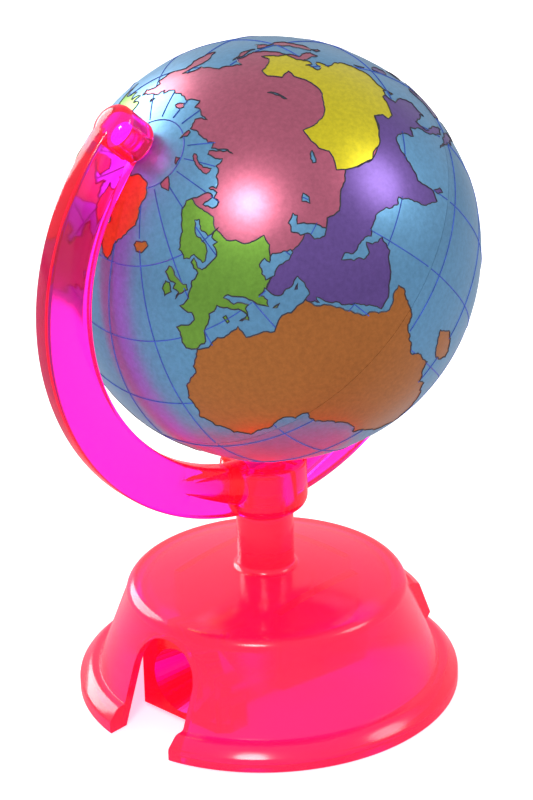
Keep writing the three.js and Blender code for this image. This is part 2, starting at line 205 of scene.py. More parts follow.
def ripple(tree, noise, shader, strength, distance):
    bump = add_node(tree, "ShaderNodeBump", Strength=strength, Distance=distance)
    tree.links.new(noise.outputs["Fac"], bump.inputs["Height"])
    tree.links.new(bump.outputs["Normal"], shader.inputs["Normal"])


def mirror_rays(tree):
    """A ray, and 1 if it was mirrored off a surface or 0 if it came straight or through clear plastic."""
    ray = tree.nodes.new("ShaderNodeLightPath")
    return ray, calculate(tree, "SUBTRACT", ray.outputs["Is Glossy Ray"], ray.outputs["Is Transmission Ray"])


# %% The white floor
FLOOR_HALF = 3.0
FLOOR_Z = -0.0001

paper, tree = new_material("white_paper")
lit_paper = add_node(tree, "ShaderNodeBsdfPrincipled", Base_Color=(0.93, 0.93, 0.93, 1), Roughness=0.9,
                     Emission_Color=(1, 1, 1, 1), Emission_Strength=0.55)
mirrored_paper = add_node(tree, "ShaderNodeBsdfDiffuse", Color=(0.45, 0.45, 0.47, 1))
show(tree, mix(tree, mirror_rays(tree)[1], lit_paper, mirrored_paper))

floor_mesh = bpy.data.meshes.new("floor")
corners = [(x * FLOOR_HALF, y * FLOOR_HALF, FLOOR_Z) for x, y in ((-1, -1), (1, -1), (1, 1), (-1, 1))]
floor_mesh.from_pydata(corners, [], [(0, 1, 2, 3)])
floor_mesh.materials.append(paper)
floor = add_object("floor", floor_mesh)
print("floor:", 2 * FLOOR_HALF, "m across")

# %% The sky
SKY_SEEN = 1.15
SKY_LIGHT = 0.62

world = bpy.data.worlds.new("studio")
bpy.context.scene.world = world
world.use_nodes = True
tree = world.node_tree
tree.nodes.clear()
seen = add_node(tree, "ShaderNodeBackground", Color=(1, 1, 1, 1), Strength=SKY_SEEN)
lit = add_node(tree, "ShaderNodeBackground", Color=(0.94, 0.96, 1, 1), Strength=SKY_LIGHT)
ray, mirrored = mirror_rays(tree)
dimmed = calculate(tree, "MAXIMUM", mirrored, ray.outputs["Is Diffuse Ray"])
show(tree, mix(tree, dimmed, seen, lit), "ShaderNodeOutputWorld")
bpy.context.scene.view_settings.view_transform = "Standard"
print("sky:", SKY_SEEN, "where it is seen,", SKY_LIGHT, "where it is mirrored or lights a surface")

# %% The soft lamps
LAMPS = {
    # name: (right, up, back, size, watts)
    "lamp_over_lens": (-0.176, 0.353, 0.92, 0.16, 1.25),
    "lamp_right": (0.80, 0.476, 0.345, 0.22, 0.7),
    "lamp_left_behind": (-0.68, 0.58, -0.43, 0.45, 3.2),
}
LAMP_DISTANCE = 0.6

for name, (right, up, back, size, watts) in LAMPS.items():
    way = (camera_right * right + camera_up * up + camera_back * back).normalized()
    data = bpy.data.lights.new(name, "AREA")
    data.shape = "DISK"
    data.size = size
    data.energy = watts
    lamp = add_object(name, data)
    lamp.matrix_world = (Matrix.Translation(globe_centre + way * LAMP_DISTANCE)
                         @ way.to_track_quat("Z", "Y").to_matrix().to_4x4())
print("lamps:", list(LAMPS))

# %% [markdown]
# ## The pink plastic
# The stand is clear plastic with a fluorescent pink dye. Thin parts look magenta, and where light
# runs a long way through the dye the blue is used up and the part looks red. A glass shader with an
# absorbing volume does that by itself, so one recipe serves every moulding, in a clear grade and in
# a hazier one for the foot. Each grade also has a painted glow: a weak red emission that stands in
# for the dye's fluorescence and shines whatever the light. Shadow and bounce rays pass straight
# through, which keeps the light inside the hollow foot.

# %% Make the pink plastic
DYE_DENSITY = 1500.0


def pink_plastic(name, clear, haze, colour, specular, coat, dye_colour, painted_glow):
    """clear is the share of light let through, haze the lowest and highest roughness it meets."""
    material, tree = new_material(name)
    # the emission is a painted glow for the fluorescent dye: red light of its own, whatever the lamps
    body = add_node(tree, "ShaderNodeBsdfPrincipled", IOR=1.49, Base_Color=colour, Transmission_Weight=clear,
                    Specular_IOR_Level=specular, Coat_Weight=coat, Coat_Roughness=0.2,
                    Emission_Color=(1.0, 0.02, 0.08, 1), Emission_Strength=painted_glow)
    spread(tree, object_noise(tree, 260.0), *haze, body.inputs["Roughness"])
    ripple(tree, object_noise(tree, 90.0, 1.0), body, 0.12, 0.0003)
    through = add_node(tree, "ShaderNodeBsdfTransparent", Color=(1.0, 0.5, 0.75, 1))
    ray = tree.nodes.new("ShaderNodeLightPath")
    passing = calculate(tree, "MAXIMUM", ray.outputs["Is Shadow Ray"], ray.outputs["Is Diffuse Ray"])
    output = show(tree, mix(tree, passing, body, through))
    dye = add_node(tree, "ShaderNodeVolumeAbsorption", Color=dye_colour, Density=DYE_DENSITY)
    tree.links.new(dye.outputs[0], output.inputs["Volume"])
    return material


pink = pink_plastic("pink_clear_plastic", clear=1.0, haze=(0.06, 0.14), colour=(1.0, 0.6, 0.9, 1),
                    specular=0.5, coat=0.0, dye_colour=(1.0, 0.0, 0.84, 1), painted_glow=0.14)
# the foot's grade has more dye and a stronger painted glow than the clear grade; they paint in the red of
# light trapped inside the hollow foot
hazy_pink = pink_plastic("pink_hazy_plastic", clear=0.92, haze=(0.12, 0.20), colour=(1.0, 0.012, 0.34, 1),
                         specular=0.1, coat=0.25, dye_colour=(1.0, 0.0, 0.72, 1), painted_glow=0.25)
print("plastics:", pink.name, hazy_pink.name)

# %% [markdown]
# ## The steel
# The blade and its screw are plain ground steel. Fine noise stretched across the blade stands for
# the grinding marks.

# %% Make the steel
steel, tree = new_material("ground_steel")
surface = add_node(tree, "ShaderNodeBsdfPrincipled", Base_Color=(0.62, 0.63, 0.65, 1), Metallic=1.0)
spread(tree, object_noise(tree, 1500.0, stretch=(0.15, 1, 1)), 0.22, 0.42, surface.inputs["Roughness"])
show(tree, surface)
print("metal:", steel.name)

# %% [markdown]
# ## Shaping helpers
# Almost every part of the stand is turned, so one helper spins a profile of radius and height. The
# mouth, the sockets and the pin holes are cut with Boolean modifiers, whose result is kept as a
# plain mesh. Faces that meet at a slight angle are shaded smooth and sharp edges stay crisp.

# %% Turn, cut and finish
SMOOTH_UNDER = math.radians(32)


def new_object(name, builder):
    bmesh.ops.recalc_face_normals(builder, faces=builder.faces)
    mesh = bpy.data.meshes.new(name)
    builder.to_mesh(mesh)
    builder.free()
    return add_object(name, mesh)


def turned(name, profile, steps=160, matrix=None):
    """Spin points of radius and height about Z. A profile that starts off the axis is joined to its end."""
    builder = bmesh.new()
    rings = []
    for radius, height in profile:
        count = steps if radius > 0 else 1
        rings.append([builder.verts.new((radius * math.cos(2 * math.pi * i / steps),
                                         radius * math.sin(2 * math.pi * i / steps), height))
                      for i in range(count)])
    closed = profile[0][0] > 0
    for low, high in zip(rings, rings[1:] + (rings[:1] if closed else [])):
        for i in range(steps):
            j = (i + 1) % steps
            corners = [low[i % len(low)], low[j % len(low)], high[j % len(high)], high[i % len(high)]]
            corners = list(dict.fromkeys(corners))
            if len(corners) > 2:
                builder.faces.new(corners)
    if matrix:
        bmesh.ops.transform(builder, matrix=matrix, verts=builder.verts)
    return new_object(name, builder)


def arc(x, z, radius, start, end, steps):
    angles = [math.radians(start + (end - start) * i / steps) for i in range(steps + 1)]
    return [(x + radius * math.cos(a), z + radius * math.sin(a)) for a in angles]


def block(name, low, high):
    builder = bmesh.new()
    bmesh.ops.create_cube(builder, size=1)
    middle = [(a + b) / 2 for a, b in zip(low, high)]
    sizes = [b - a for a, b in zip(low, high)]
    bmesh.ops.transform(builder, matrix=Matrix.LocRotScale(middle, None, sizes), verts=builder.verts)
    return new_object(name, builder)


def settle(piece):
    """Keep what the modifiers make as the piece's own mesh."""
    bpy.context.view_layer.update()
    graph = bpy.context.evaluated_depsgraph_get()
    result = bpy.data.meshes.new_from_object(piece.evaluated_get(graph))
    piece.modifiers.clear()
    piece.data = result


def combine(piece, operation, *tools):
    for tool in tools:
        cutter = piece.modifiers.new("cut", "BOOLEAN")
        cutter.operation = operation
        cutter.solver = "EXACT"
        cutter.object = tool
        settle(piece)
        bpy.data.objects.remove(tool)


def finish_piece(piece, place, material, body, slot, *nodes):
    piece.data.transform(place)
    if not piece.data.materials:
        piece.data.materials.append(material)
    piece.data.shade_smooth()
    piece.data.set_sharp_from_angle(angle=SMOOTH_UNDER)
    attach(piece, body)
    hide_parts(*nodes)
    print(piece.name, len(piece.data.polygons), "faces")


# %% [markdown]
# ## The foot
# The foot is one moulding: a flange, a leaning skirt, a slightly domed top and the neck. Under the
# top are two ribs and a stop that hold the sharpener, and a raised panel is on the far side. It is
# turned from its section, then the arched mouth is cut.

# %% Turn the foot
FIT = 0.3
WALL = 1.2
FLANGE_H = 3.0
SKIRT_LOW_R = 20.95
TOP_R = 17.3
TOP_Z = 14.15
TOP_ROUND = 1.5
UNDER_TOP_ROUND = 0.8
DOME = 1.85
NECK_R = 3.5
NECK_H = 7.5
NECK_FOOT = 0.8
EASE = 0.15
SPIGOT_R = 2.3
SPIGOT_H = 5.0
FOOT_STEPS = 192

neck_top = TOP_Z + DOME + NECK_H
spigot_top = neck_top + SPIGOT_H
lean = (SKIRT_LOW_R - TOP_R) / (TOP_Z - TOP_ROUND - FLANGE_H)
skirt_inset = WALL * math.hypot(1, lean)
dome_edge = TOP_R - lean * TOP_ROUND * 0.5 - TOP_ROUND


def skirt_r(z):
    return SKIRT_LOW_R - lean * (z - FLANGE_H)


def dome_z(r):
    return TOP_Z + DOME * (1 - (r / dome_edge) ** 2)


round_r = TOP_R - TOP_ROUND
neck_foot_z = dome_z(NECK_R + NECK_FOOT)
inner_z = TOP_Z - WALL
under = [(0, dome_z(0) - WALL)]
under += [(round_r * share, dome_z(round_r * share) - WALL) for share in (0.15, 0.3, 0.45, 0.6, 0.75, 0.88)]
under += [(round_r - WALL / 2, inner_z),
          (skirt_r(inner_z - UNDER_TOP_ROUND) - skirt_inset, inner_z - UNDER_TOP_ROUND)]
# the flange's rolled edge is given point by point
flange = [(skirt_r(0) - skirt_inset, 0), (FOOT_R - EASE, 0), (FOOT_R, EASE), (FOOT_R, 1.35),
          (FOOT_R - 0.06, 1.6), (FOOT_R - 0.2, 1.8), (22.75, 2.35), (22.35, 2.75), (22.05, 2.93),
          (21.7, FLANGE_H), (SKIRT_LOW_R + 0.3, FLANGE_H), (SKIRT_LOW_R + 0.06, FLANGE_H + 0.08),
          (SKIRT_LOW_R - 0.1, FLANGE_H + 0.3)]
over = arc(round_r, TOP_Z - TOP_ROUND, TOP_ROUND, 0, 80, 10)
over += [(dome_edge * share, dome_z(dome_edge * share)) for share in (1, 0.9, 0.8, 0.7, 0.6, 0.5, 0.4)]
over += arc(NECK_R + NECK_FOOT, neck_foot_z + NECK_FOOT, NECK_FOOT, 270, 180, 8)
over += [(NECK_R, neck_top - EASE), (NECK_R - EASE, neck_top), (SPIGOT_R, neck_top),
         (SPIGOT_R, spigot_top), (0, spigot_top)]
foot = turned("stand_foot", under + flange + over, FOOT_STEPS)
print("foot section:", len(under + flange + over), "points")

# %% Raise the panel, cut the mouth and add the ribs
PANEL_PROUD = 1.4
PANEL_HALF = 10.0
PANEL_LOW = 4.0
PANEL_HIGH = 10.0
PANEL_BEVEL = 0.6
MOUTH_HALF = 4.9
MOUTH_ARCH_Z = 7.4
BEYOND = 0.5
BLOCK_LENGTH = 24.0
BLOCK_FRONT = 15.76
RIB_Y = 7.65
RIB_LENGTH = 14.0
RIB_LOW = 5.0
STOP_HALF = 5

panel = turned("panel", [
    (skirt_r(PANEL_LOW) - WALL / 2, PANEL_LOW),
    (skirt_r(PANEL_LOW) + PANEL_PROUD / 2, PANEL_LOW),
    (skirt_r(PANEL_LOW + PANEL_BEVEL) + PANEL_PROUD, PANEL_LOW + PANEL_BEVEL),
    (skirt_r(PANEL_HIGH - PANEL_BEVEL) + PANEL_PROUD, PANEL_HIGH - PANEL_BEVEL),
    (skirt_r(PANEL_HIGH) + PANEL_PROUD / 2, PANEL_HIGH),
    (skirt_r(PANEL_HIGH) - WALL / 2, PANEL_HIGH),
], FOOT_STEPS)
combine(panel, "INTERSECT", block("panel_room", (0, -PANEL_HALF, 0), (FOOT_R + 3, PANEL_HALF, TOP_Z)))

mouth_builder = bmesh.new()
arch = [(MOUTH_HALF, -1.0)] + arc(0, MOUTH_ARCH_Z, MOUTH_HALF, 0, 180, 40) + [(-MOUTH_HALF, -1.0)]
front = [mouth_builder.verts.new((-FOOT_R - BEYOND, y, z)) for y, z in arch]
back = [mouth_builder.verts.new((-BLOCK_FRONT + FIT, y, z)) for y, z in arch]
mouth_builder.faces.new(front)
mouth_builder.faces.new(back)
for i in range(len(arch)):
    j = (i + 1) % len(arch)
    mouth_builder.faces.new((front[i], front[j], back[j], back[i]))

combine(foot, "UNION", panel)
combine(foot, "DIFFERENCE", new_object("mouth", mouth_builder))
for side in (-1, 1):
    near, far = sorted((side * RIB_Y, side * (RIB_Y + WALL)))
    top = dome_z(math.hypot(RIB_LENGTH / 2, RIB_Y + WALL)) - WALL / 2
    combine(foot, "UNION", block("rib", (-RIB_LENGTH / 2, near, RIB_LOW), (RIB_LENGTH / 2, far, top)))
stop_x = BLOCK_LENGTH - BLOCK_FRONT + FIT
top = dome_z(math.hypot(stop_x + WALL, STOP_HALF)) - WALL / 2
combine(foot, "UNION", block("stop", (stop_x, -STOP_HALF, RIB_LOW), (stop_x + WALL, STOP_HALF, top)))
finish_piece(foot, foot_place, hazy_pink, "stand", "pink_plastic", "stand_base")

# %% [markdown]
# ## The arm
# The arm is half a ring with a flat section and soft edges. A round hub is under its lowest point,
# tapering gussets run from the hub along both sides, and each end swells into a boss that holds a
# pin. The bar is swept as rings of a rounded rectangle, and the turned parts are joined to it.

# %% Sweep the arm's bar
HUB_Z = arm_low.z / MM
ARM_OUTER = foot_x / MM - arm_low.x / MM
ARM_WIDTH = 6.4
ARM_THICK = 2.6
ARM_EDGE = 0.55
ARM_STEPS = 150
GLOBE_R = 25.0

arm_mid = ARM_OUTER - ARM_WIDTH / 2
arm_z = HUB_Z + ARM_OUTER
set_back = math.hypot(globe_centre.x / MM - foot_x / MM, globe_centre.z / MM - arm_z)
overrun = math.asin(set_back / arm_mid)


def rounded_rectangle(width, height, radius, steps=5):
    points = []
    for x, y, start in ((1, 1, 0), (-1, 1, 90), (-1, -1, 180), (1, -1, 270)):
        centre = (x * (width / 2 - radius), y * (height / 2 - radius))
        points += arc(*centre, radius, start, start + 90, steps)
    return points


def swept_arm():
    builder = bmesh.new()
    section = rounded_rectangle(ARM_WIDTH, ARM_THICK, ARM_EDGE)
    start, end = math.pi / 2 + tilt - overrun, 1.5 * math.pi + tilt + overrun
    rings = []
    for i in range(ARM_STEPS + 1):
        angle = start + (end - start) * i / ARM_STEPS
        out = Vector((math.cos(angle), 0, math.sin(angle)))
        rings.append([builder.verts.new(out * (arm_mid + a) + Vector((0, b, arm_z))) for a, b in section])
    for low, high in zip(rings, rings[1:]):
        for i in range(len(section)):
            j = (i + 1) % len(section)
            builder.faces.new((low[i], low[j], high[j], high[i]))
    builder.faces.new(rings[0])
    builder.faces.new(rings[-1])
    return new_object("stand_arm", builder)


arm = swept_arm()
print("bar:", len(arm.data.polygons), "faces")

# %% Join the bosses, the hub and the gussets
BOSS_R = 2.7
BOSS_CLEAR = 0.4
BOSS_EDGE = 0.8
BOSS_DOME = 0.2
BOSS_SHOULDER = 1.6
HUB_R = 5.3
HUB_H = 6.5
HUB_ROUND = 1.6
HUB_EDGE = 0.6
GUSSET_R = 3.5
GUSSET_REACH = 13.8
GUSSET_INSET = 0.12

ball_in_arm = arm_place.inverted() @ ball_place
near = GLOBE_R + BOSS_CLEAR
far = math.sqrt(ARM_OUTER ** 2 - set_back ** 2) + BOSS_DOME
boss_section = [(0, near), (BOSS_R - BOSS_EDGE, near)]
boss_section += arc(BOSS_R - BOSS_EDGE, near + BOSS_EDGE, BOSS_EDGE, 280, 360, 5)
boss_section += [(BOSS_R * math.cos(math.radians(a)), far - BOSS_SHOULDER * (1 - math.sin(math.radians(a))))
                 for a in range(0, 90, 9)] + [(0, far)]
for turn in (0, math.pi):
    combine(arm, "UNION", turned("boss", boss_section, 64, ball_in_arm @ Matrix.Rotation(turn, 4, "X")))

hub_section = [(0, HUB_Z)] + arc(HUB_R - HUB_ROUND, HUB_Z + HUB_ROUND, HUB_ROUND, 270, 360, 8)
hub_section += arc(HUB_R - HUB_EDGE, HUB_Z + HUB_H - HUB_EDGE, HUB_EDGE, 0, 90, 6) + [(0, HUB_Z + HUB_H)]
combine(arm, "UNION", turned("hub", hub_section, 96))

rise = arm_mid - math.sqrt(arm_mid ** 2 - GUSSET_REACH ** 2)
length = math.hypot(GUSSET_REACH, rise)
gusset_section = [(0, 0), (GUSSET_R, 0), (ARM_THICK / 2 - GUSSET_INSET, length), (0, length)]
for side in (-1, 1):
    place = (Matrix.Translation((0, 0, HUB_Z + ARM_WIDTH / 2))
             @ Matrix.Rotation(math.atan2(side * GUSSET_REACH, rise), 4, "Y"))
    combine(arm, "UNION", turned("gusset", gusset_section, 64, place))
print("arm with bosses, hub and gussets:", len(arm.data.polygons), "faces")

# %% Cut the pin holes, the neck's socket and the room for the ball
PIN_IN_BOSS = 3.2
PIN_HOLE_R = 1.5
SOCKET_DEPTH = 5

hole_end = GLOBE_R + BOSS_CLEAR + PIN_IN_BOSS + FIT
hole_section = [(0, -hole_end), (PIN_HOLE_R, -hole_end), (PIN_HOLE_R, hole_end), (0, hole_end)]
socket_section = [(0, HUB_Z - 1), (SPIGOT_R + FIT, HUB_Z - 1), (SPIGOT_R + FIT, HUB_Z + SOCKET_DEPTH),
                  (0, HUB_Z + SOCKET_DEPTH)]
room_r = GLOBE_R + BOSS_CLEAR
room_section = [(0, -room_r)] + arc(0, 0, room_r, -90, 90, 90)[1:-1] + [(0, room_r)]
combine(arm, "DIFFERENCE", turned("pin_hole", hole_section, 48, ball_in_arm),
        turned("socket", socket_section, 64), turned("ball_room", room_section, 160, ball_in_arm))
finish_piece(arm, arm_place, pink, "stand", "pink_plastic", "meridian_arm")

# %% [markdown]
# ## The axle pins
# A short pin is pressed in each boss from the ball's side and holds the tin by its pole hole. Only
# its few tenths between the boss and the ball show, so a plain turned rod with eased ends will do.

# %% Turn the pins
PIN_R = 1.2
PIN_INSIDE = 2.2
PIN_POINT = 0.4

tip = GLOBE_R - PIN_INSIDE
pin_end = GLOBE_R + BOSS_CLEAR + PIN_IN_BOSS
pin_section = [(0, tip)] + arc(PIN_R - PIN_POINT, tip + PIN_POINT, PIN_POINT, 270, 360, 5)
pin_section += arc(PIN_R - PIN_POINT, pin_end - PIN_POINT, PIN_POINT, 0, 90, 5) + [(0, pin_end)]
for name, node, turn in (("pin_north", "north_axle_pin", 0), ("pin_south", "south_axle_pin", math.pi)):
    pin = turned(name, pin_section, 64, Matrix.Rotation(turn, 4, "X"))
    finish_piece(pin, ball_place, pink, "stand", "pink_plastic", node)

# %% [markdown]
# ## The sharpener
# The block, its blade and its screw have the right shape already, so they stay as they are in the
# model and only get their finishes.

# %% Finish the sharpener
for node, material in (("sharpener_body", pink), ("sharpener_blade", steel), ("blade_screw", steel)):
    frame["nodes"][node].data.materials.clear()
    frame["nodes"][node].data.materials.append(material)
    print(node, "in", material.name)

# %% [markdown]
# ## The map
# The tin is printed flat and then drawn into two bowls. The print here is a coarse world drawn as
# outlines of longitude and latitude. Real coasts are ragged, so each outline is broken up by moving
# midpoints a little, with a fixed seed. No words are printed.

# %% Outlines of the land, as longitude and latitude
EURASIA = [
    (25.5, 71.1), (31, 70.3), (36, 69.2), (41.2, 67.4), (40, 66.3), (32.5, 67.1), (34.8, 64.5), (38, 64),
    (40.5, 64.7), (40, 65.8), (44, 66.1), (43.6, 68.6), (46, 67.8), (46, 66.9), (53, 68.5), (59, 68.9),
    (60.5, 69.8), (67, 68.8), (67, 71.2), (69, 72.9), (72.5, 72.8), (72.5, 69), (73.5, 68), (71.5, 66.4),
    (74.5, 68.5), (74, 70.5), (75, 72.3), (80.5, 72), (81, 73.5), (87, 74.9), (98, 76.3), (104, 77.7),
    (113.5, 75.6), (108, 73.6), (105.5, 72.8), (113.5, 73.6), (123, 73), (127, 73.5), (129.5, 71.2),
    (133, 71.6), (140.5, 72.8), (150, 71.6), (152.5, 70.9), (159, 70.8), (161, 69.5), (170.5, 70.1),
    (170.5, 68.8), (176, 69.8), (180, 68.9), (185, 67.5), (190.3, 66.1), (187, 64.4), (182.5, 65.5),
    (177.5, 64.7), (179, 62.5), (170.5, 60), (166, 60), (164, 59.9), (162.5, 57.9), (163.2, 56.1),
    (160, 53.1), (156.7, 51), (155.6, 54), (155.6, 57), (160.5, 60.7), (163.5, 62.3), (156.5, 61.5),
    (154.5, 59.5), (149, 59.5), (142.5, 59.3), (138, 56.5), (135.5, 54.7), (141.3, 53.2), (140.3, 48),
    (135.5, 44.3), (130.7, 42.3), (127.6, 39.8), (129.5, 36.5), (129.2, 35.2), (126.5, 34.5), (126.3, 36.7),
    (125, 39.6), (121.5, 38.9), (121.5, 40.8), (117.8, 38.9), (118.9, 37.4), (122.5, 37.2), (119.3, 34.9),
    (121.8, 31.8), (122, 29.5), (119.6, 25.9), (116.5, 23), (111.5, 21.5), (110.2, 20.4), (109.8, 21.5),
    (108, 21.6), (105.7, 18.9), (109.2, 13.5), (109, 11.5), (105, 8.7), (104.9, 10.2), (102.3, 12.2),
    (100.9, 13.4), (99.3, 10.5), (100.3, 8.5), (103.3, 4.5), (104.2, 1.4), (101.3, 3), (98.4, 9),
    (98.7, 11.8), (97.4, 16.5), (94.3, 16.2), (94.2, 18.7), (91.5, 22.5), (88, 21.7), (85, 19.4),
    (82.3, 16.6), (80.3, 15.5), (80.1, 12.5), (79, 9.3), (77.5, 8.1), (76.3, 10), (73.8, 16), (72.8, 21.2),
    (70.9, 20.8), (69, 22.3), (66.5, 25.3), (58.5, 25.5), (57.2, 27), (51.4, 27.9), (50.2, 30), (48, 29.8),
    (49.8, 26.8), (51.3, 26), (51.6, 24.6), (54.2, 24.1), (56.3, 26.1), (56.7, 24.3), (59.8, 22.5),
    (57.7, 18.9), (52.2, 15.6), (45, 12.8), (43.4, 12.7), (42.7, 15.5), (39.1, 21.3), (35.5, 27.8),
    (34.9, 29.5), (34.3, 27.8), (32.6, 29.9), (32.3, 31.2), (34.3, 31.3), (35.9, 35.3), (36.1, 36.7),
    (32.5, 36.1), (30.6, 36.7), (27.4, 36.9), (26.3, 38.5), (26.2, 40), (26, 40.8), (22.9, 40.4), (24, 38),
    (22.8, 36.5), (21.2, 38.2), (19.4, 41), (18.4, 42.5), (14.5, 45.2), (12.4, 45.2), (14.2, 42.4),
    (18.5, 40), (16.5, 39.7), (15.8, 37.9), (14.5, 40.7), (10.4, 43), (8.8, 44.4), (4.6, 43.4), (3.2, 41.8),
    (-0.3, 39.4), (-2.2, 36.7), (-5.6, 36), (-8.9, 37), (-9.4, 38.8), (-9.2, 43.1), (-1.5, 43.5),
    (-1.2, 45.5), (-4.7, 48.2), (-1.6, 48.7), (1.6, 50.7), (4.7, 52.9), (8.7, 53.9), (8.2, 57.1),
    (10.5, 57.7), (9.8, 55), (11, 54.1), (18.6, 54.6), (21, 55.5), (21.7, 57.6), (24.3, 57.4), (23.6, 59.2),
    (29.8, 59.9), (22.5, 60.2), (21.5, 62.9), (24.5, 65), (22, 65.7), (17.5, 62), (18.8, 59.8), (16.2, 56.6),
    (14.3, 55.5), (12.9, 55.5), (11.3, 58.5), (8.2, 58.1), (5.6, 58.8), (5, 61.5), (11.5, 65), (16, 68.5),
]
AFRICA = [
    (32.3, 31.2), (30, 31.4), (23, 32.3), (20, 31), (19, 30.4), (15.3, 32.3), (11, 33.4), (10.9, 37),
    (3, 36.9), (-1.5, 35.3), (-5.5, 35.8), (-9.6, 31.5), (-9.8, 29.5), (-12.9, 27.8), (-16.9, 22),
    (-16.3, 19.5), (-16.5, 16.3), (-17.4, 14.7), (-14.8, 10.8), (-11.4, 6.8), (-7.6, 4.4), (-2, 4.8),
    (1.2, 6), (4.3, 6.3), (6, 4.3), (8.5, 4.6), (9.7, 3.9), (9, -0.8), (11.8, -4.6), (13.8, -11),
    (11.8, -17), (14.4, -22.5), (15.2, -27), (18.4, -34.1), (20, -34.8), (25.7, -33.9), (31, -29.8),
    (32.8, -26), (35.4, -23.8), (35, -20), (40.5, -15.8), (40.6, -11), (39.3, -7), (41.8, -1.5), (46, 2.5),
    (51.2, 11.9), (44.5, 10.4), (43.2, 11.6), (39.5, 15.5), (37.2, 21), (33.8, 27), (32.6, 29.9),
]
NORTH_AMERICA = [
    (-168, 65.6), (-162, 66.5), (-166.5, 68.3), (-156.5, 71.3), (-141, 69.6), (-128, 70.3), (-115, 68.5),
    (-96, 68.2), (-94.5, 71.9), (-86, 68), (-81.5, 69.5), (-82, 67), (-87, 65), (-94, 61), (-92.5, 57),
    (-82.3, 55.1), (-82, 53), (-79.5, 51.4), (-76.6, 57), (-77.5, 62.5), (-70, 61), (-64.5, 60.3),
    (-61.5, 57), (-56, 52.5), (-66.5, 50.2), (-65, 48.3), (-61, 45.8), (-66, 43.6), (-70.3, 43.5),
    (-70, 41.7), (-74, 40.5), (-75.7, 35.3), (-81.3, 31), (-80.1, 26.8), (-80.6, 25.2), (-82.7, 28),
    (-84, 30), (-89.5, 30.2), (-94, 29.5), (-97.3, 27.5), (-97.7, 22.5), (-95.5, 18.6), (-91.5, 18.5),
    (-90.3, 21), (-87, 21.5), (-88.5, 15.8), (-83.3, 15), (-83.7, 11), (-79.5, 9.5), (-77.3, 8.6),
    (-77.9, 7.3), (-80, 7.4), (-83, 8.3), (-87.6, 13), (-95, 16), (-105.5, 20), (-106, 22.8), (-112.5, 29.8),
    (-114.7, 31.7), (-109.6, 23), (-115, 28.5), (-117, 32.5), (-120.6, 34.6), (-124.2, 43), (-124.6, 48.3),
    (-130.3, 54.5), (-134, 58), (-146, 60.8), (-151.5, 59.3), (-158.5, 56), (-164.5, 54.6), (-158, 58.5),
    (-165, 61.5), (-161, 64), (-166, 64.5),
]
SOUTH_AMERICA = [
    (-77.3, 8.6), (-75, 10.9), (-71.8, 12.3), (-62, 10.7), (-57, 6), (-51.5, 4.5), (-50, 0.5), (-44.3, -2.7),
    (-35.3, -5.3), (-34.8, -8), (-39, -15), (-41.5, -22.3), (-48.5, -26), (-48.8, -28.7), (-54.5, -34.9),
    (-58, -34.2), (-57, -36.8), (-62.3, -39), (-64, -42.7), (-67.4, -46), (-65.8, -48), (-69, -51),
    (-65.2, -54.7), (-69, -55.5), (-75.5, -50), (-73, -42), (-73.6, -37.5), (-71.5, -32), (-70.3, -18.4),
    (-76, -14), (-81.3, -4.7), (-80, -0.5), (-77.3, 4), (-77.9, 7.3),
]
AUSTRALIA = [
    (113.5, -22), (115.7, -32), (115, -34.2), (123.5, -33.9), (131.2, -31.5), (135, -34.5), (137.8, -32.7),
    (140.5, -38), (146.3, -39), (150, -37.3), (153.5, -28.5), (149.5, -22), (146.3, -19), (145.3, -15),
    (142.5, -10.8), (140.8, -17.5), (135.5, -15), (136.8, -12.2), (132.5, -11.4), (129.5, -14.9),
    (126, -14), (122.2, -18),
]
ANTARCTICA = [
    (-180, -78), (-158, -77), (-140, -75), (-120, -74), (-102, -75), (-85, -73.5), (-75, -72.5), (-67, -67),
    (-57, -63.3), (-62, -72), (-61, -75), (-50, -78), (-36, -78), (-26, -75.5), (-12, -72), (0, -69.5),
    (20, -70), (38, -69.5), (50, -66.5), (70, -68.5), (88, -66.7), (115, -66.7), (130, -66.2), (145, -67),
    (160, -69.5), (170, -71.5), (165, -77.5), (180, -78), (180, -90), (-180, -90),
]
GREENLAND = [
    (-43.5, 60), (-48, 61), (-51.5, 64), (-53.7, 67), (-51, 69.5), (-58.5, 75.3), (-68, 76), (-67, 79.5),
    (-61, 82), (-33, 83.6), (-12, 81.5), (-19, 76.5), (-22, 73), (-24, 70.5), (-32, 68), (-40, 65),
]
print("points drawn by hand for Eurasia:", len(EURASIA))

